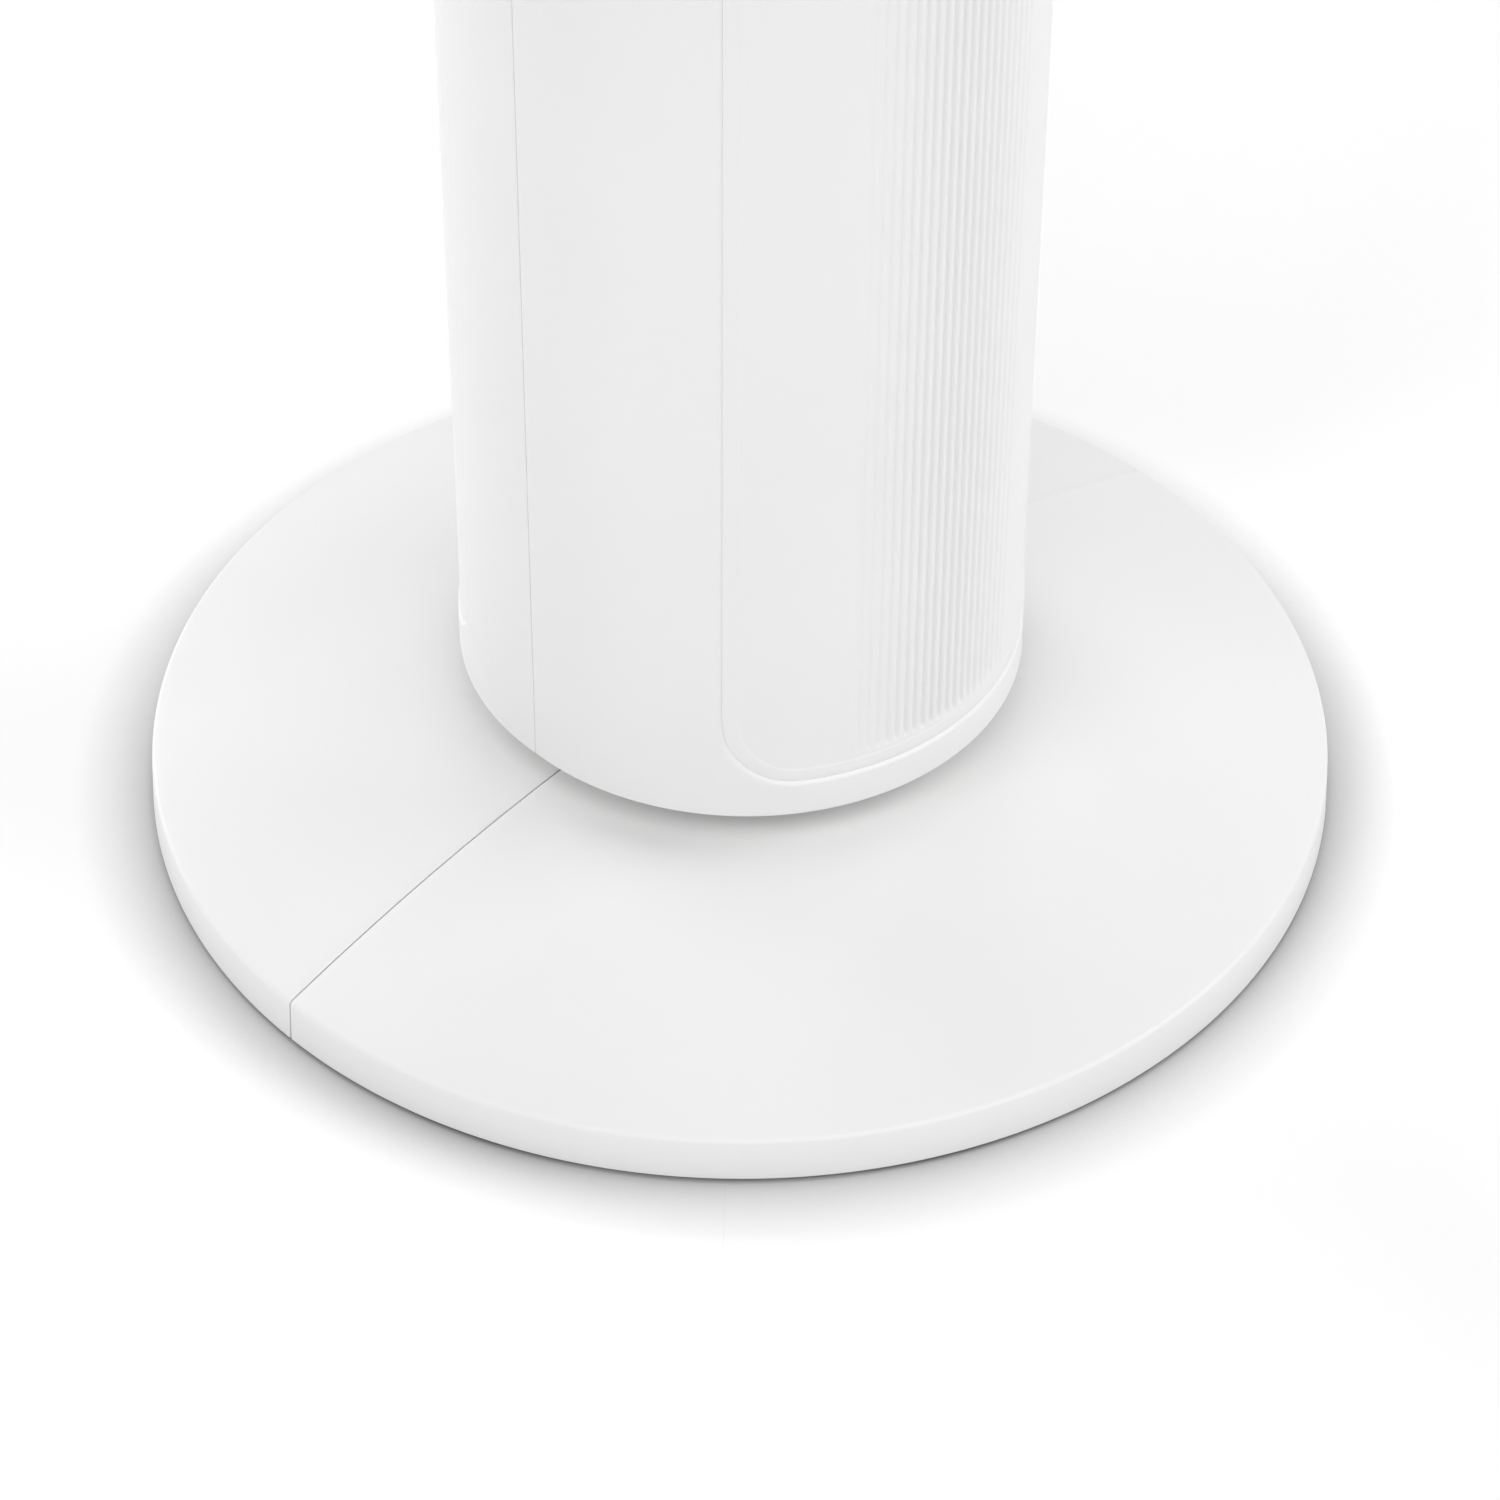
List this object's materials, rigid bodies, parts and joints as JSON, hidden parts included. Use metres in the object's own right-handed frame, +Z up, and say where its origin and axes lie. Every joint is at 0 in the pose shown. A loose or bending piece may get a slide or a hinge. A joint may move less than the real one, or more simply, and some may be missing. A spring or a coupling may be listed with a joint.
{
  "type": "tower fan",
  "caption": "Tower fan: oscillating column with a fluted outlet panel, rear inlet grille and cross-flow wheel on a round domed foot.",
  "frame": {"origin": "centre of the round foot, on the floor", "axes": "+Z up along the column; the front, with the fluted outlet panel, faces -Y"},
  "size_m": [0.31, 0.31, 1.062],
  "materials": {
    "white_shell": "satin moulded",
    "white_panel": "satin moulded",
    "inner_plastic": "moulded",
    "rubber": "matte",
    "steel": "brushed",
    "acetal": "moulded",
    "board": "solder mask",
    "lens": "gloss",
    "button": "satin moulded"
  },
  "bodies": {
    "base": {"base_front_half": "white_shell", "base_rear_half": "white_shell", "cord_gland": "rubber", "tie_plate": "steel", "turntable_socket": "inner_plastic", "thrust_washer": "acetal", "ring_gear": "acetal", "foot_pad_1": "rubber", "foot_pad_2": "rubber", "foot_pad_3": "rubber", "foot_pad_4": "rubber", "foot_pad_5": "rubber", "foot_pad_6": "rubber", "foot_pad_7": "rubber", "foot_pad_8": "rubber", "tie_screw_1": "steel", "socket_screw_1": "steel", "tie_screw_2": "steel", "socket_screw_2": "steel", "tie_screw_3": "steel", "socket_screw_3": "steel", "tie_screw_4": "steel", "socket_screw_4": "steel"},
    "column": {"swivel_hub": "inner_plastic", "column_floor": "inner_plastic", "column_front_shell": "white_shell", "column_rear_shell": "white_shell", "rear_cover": "white_shell", "grip_cup": "inner_plastic", "outlet_panel": "white_panel", "inlet_grille": "white_panel", "motor_deck": "inner_plastic", "bearing_deck": "inner_plastic", "scroll_duct": "inner_plastic", "duct_tongue": "inner_plastic", "main_motor": "steel", "upper_bearing": "acetal", "swing_motor": "steel", "power_board": "board", "control_board": "board", "top_cap": "white_shell", "control_deck": "white_panel", "display_lens": "lens", "floor_screw_1": "steel", "floor_screw_2": "steel", "floor_screw_3": "steel", "floor_screw_4": "steel"},
    "impeller": {"crossflow_wheel": "inner_plastic", "wheel_spindle": "steel", "shaft_coupling": "rubber", "rotor_shaft": "steel"},
    "pinion": {"swing_pinion": "acetal"},
    "power_key": {"power_button": "button"},
    "speed_key": {"speed_button": "button"},
    "swing_key": {"swing_button": "button"},
    "timer_key": {"timer_button": "button"},
    "mode_key": {"mode_button": "button"}
  },
  "joints": [
    {"name": "column_swing", "type": "hinge", "parent": "base", "child": "column", "pos_m": [0, 0, 0.0455], "axis": [0, 0, 1], "range_deg": [-40, 40]},
    {"name": "wheel_spin", "type": "hinge", "parent": "column", "child": "impeller", "pos_m": [0.004, 0.006, 0.3], "axis": [0, 0, 1], "continuous": true},
    {"name": "pinion_spin", "type": "hinge", "parent": "column", "child": "pinion", "pos_m": [0, 0.0522, 0.05], "axis": [0, 0, 1], "range_deg": [-134, 134]},
    {"name": "power_press", "type": "slide", "parent": "column", "child": "power_key", "axis": [0, 0, -1], "range_m": [0, 0.0008], "stiffness_N_per_m": 900, "springref_m": -0.0006},
    {"name": "speed_press", "type": "slide", "parent": "column", "child": "speed_key", "axis": [0, 0, -1], "range_m": [0, 0.0008], "stiffness_N_per_m": 900, "springref_m": -0.0006},
    {"name": "swing_press", "type": "slide", "parent": "column", "child": "swing_key", "axis": [0, 0, -1], "range_m": [0, 0.0008], "stiffness_N_per_m": 900, "springref_m": -0.0006},
    {"name": "timer_press", "type": "slide", "parent": "column", "child": "timer_key", "axis": [0, 0, -1], "range_m": [0, 0.0008], "stiffness_N_per_m": 900, "springref_m": -0.0006},
    {"name": "mode_press", "type": "slide", "parent": "column", "child": "mode_key", "axis": [0, 0, -1], "range_m": [0, 0.0008], "stiffness_N_per_m": 900, "springref_m": -0.0006}
  ],
  "couplings": [
    {"joint": "pinion_spin", "follows": "column_swing", "ratio": 3.3333}
  ]
}
